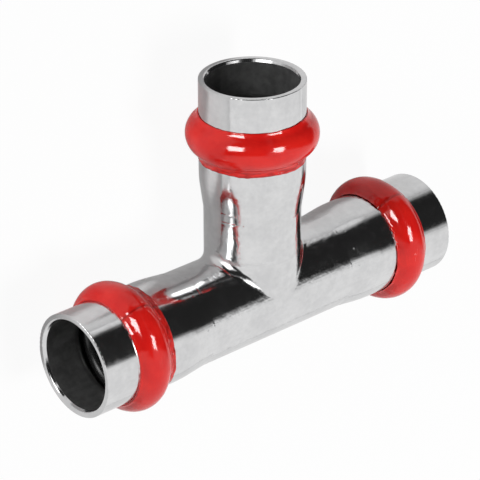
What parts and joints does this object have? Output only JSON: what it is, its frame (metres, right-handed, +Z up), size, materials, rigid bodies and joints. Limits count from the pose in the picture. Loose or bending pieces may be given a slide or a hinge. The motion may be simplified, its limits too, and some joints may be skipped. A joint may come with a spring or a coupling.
{
  "type": "press tee",
  "caption": "Steel press-fit pipe tee: a straight run with a side branch, beaded sockets that hold O-rings, and red film sleeves over the beads.",
  "frame": {"origin": "on the floor, under the middle of the tee as it lies on its three beads", "axes": "+X along the run, +Y out of the branch, +Z up and square to both pipe axes"},
  "size_m": [0.077, 0.05, 0.0221],
  "materials": {
    "zinc_steel": "thin-walled steel with a bright, smooth zinc plating",
    "seal_rubber": "black, slightly greased",
    "indicator_film": "thin glossy red film, shrunk on, lightly creased"
  },
  "bodies": {
    "root": {"tee_body": "zinc_steel", "seal_left": "seal_rubber", "seal_right": "seal_rubber", "seal_branch": "seal_rubber", "press_film_left": "indicator_film", "press_film_right": "indicator_film", "press_film_branch": "indicator_film"}
  },
  "joints": []
}
